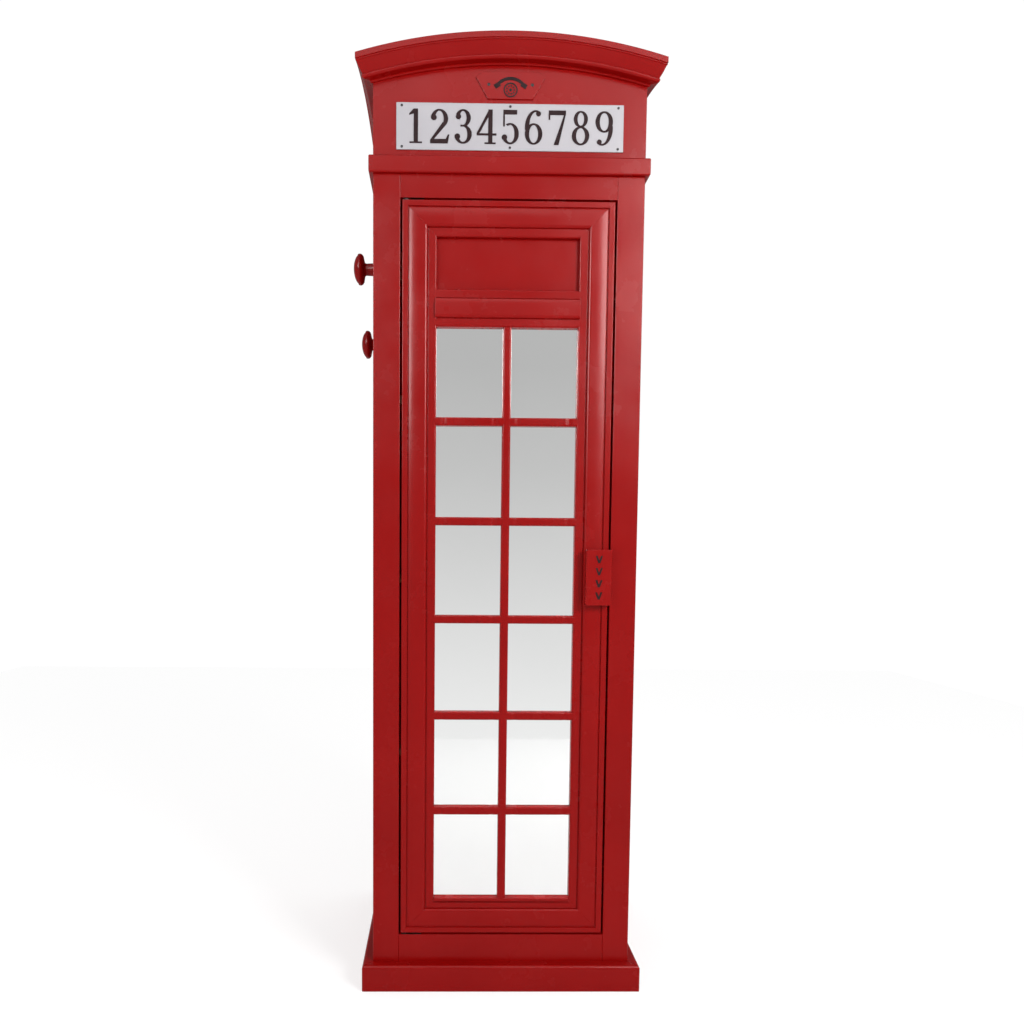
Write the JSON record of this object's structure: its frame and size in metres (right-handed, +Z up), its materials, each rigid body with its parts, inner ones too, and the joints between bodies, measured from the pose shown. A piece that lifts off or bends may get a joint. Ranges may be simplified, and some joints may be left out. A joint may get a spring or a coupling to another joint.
{
  "type": "telephone booth cabinet",
  "caption": "Tall red cabinet styled as an arched-roof telephone booth, with a pivoted mirror door, glazing bars, a sign, a pull handle and side coat pegs.",
  "frame": {"origin": "on the floor, under the centre of the cabinet body, at the centre of the four foot holes", "axes": "+Z up, -Y out through the door, +X to the right seen from the door side"},
  "size_m": [0.5855, 0.48, 1.795],
  "materials": {
    "red_paint": "satin painted",
    "bare_wood": "unpainted board",
    "mirror": "silvered glass",
    "sign_enamel": "satin white",
    "dark_print": "matt",
    "steel": "zinc plated",
    "dark_metal": "blackened",
    "brown_plastic": "moulded"
  },
  "bodies": {
    "cabinet": {"plinth_front": "red_paint", "plinth_back": "red_paint", "plinth_left": "red_paint", "plinth_right": "red_paint", "plinth_corner_blocks": "bare_wood", "bottom_board": "red_paint", "left_side_panel": "red_paint", "right_side_panel": "red_paint", "back_panel": "red_paint", "top_board": "red_paint", "left_stile": "red_paint", "right_stile": "red_paint", "top_rail": "red_paint", "bottom_rail": "red_paint", "band_front": "red_paint", "band_left": "red_paint", "band_right": "red_paint", "header_front": "red_paint", "header_back": "red_paint", "header_left": "red_paint", "header_right": "red_paint", "crown_front": "red_paint", "crown_left": "red_paint", "crown_right": "red_paint", "roof_panel": "red_paint", "wall_fixing_rail": "bare_wood", "sign_plate": "sign_enamel", "sign_digits": "dark_print", "sign_pins": "dark_metal", "plaque": "red_paint", "plaque_emblem": "dark_print", "plaque_screws": "dark_metal", "upper_coat_peg": "red_paint", "lower_coat_peg": "red_paint", "peg_bolts": "steel", "shelf_lower": "bare_wood", "shelf_middle": "bare_wood", "shelf_upper": "bare_wood", "shelf_pins": "steel", "catch_housing": "brown_plastic", "catch_magnet": "steel", "pivot_plates": "dark_metal", "pivot_pins": "dark_metal", "pivot_plate_screws": "dark_metal"},
    "door": {"door_left_stile": "red_paint", "door_right_stile": "red_paint", "door_top_rail": "red_paint", "door_middle_rail": "red_paint", "door_bottom_rail": "red_paint", "door_panel": "red_paint", "glazing_bar_vertical": "red_paint", "glazing_bars_horizontal": "red_paint", "mirror_glass": "mirror", "mirror_backing": "bare_wood", "retaining_strips": "bare_wood", "door_handle": "red_paint", "handle_marks": "dark_print", "handle_screws": "steel", "strike_plate": "steel", "pivot_bushes": "brown_plastic"}
  },
  "joints": [
    {"name": "door_pivot", "type": "hinge", "parent": "cabinet", "child": "door", "pos_m": [-0.1905, -0.217, 0.1095], "axis": [0, 0, -1], "range_deg": [0, 105]}
  ]
}
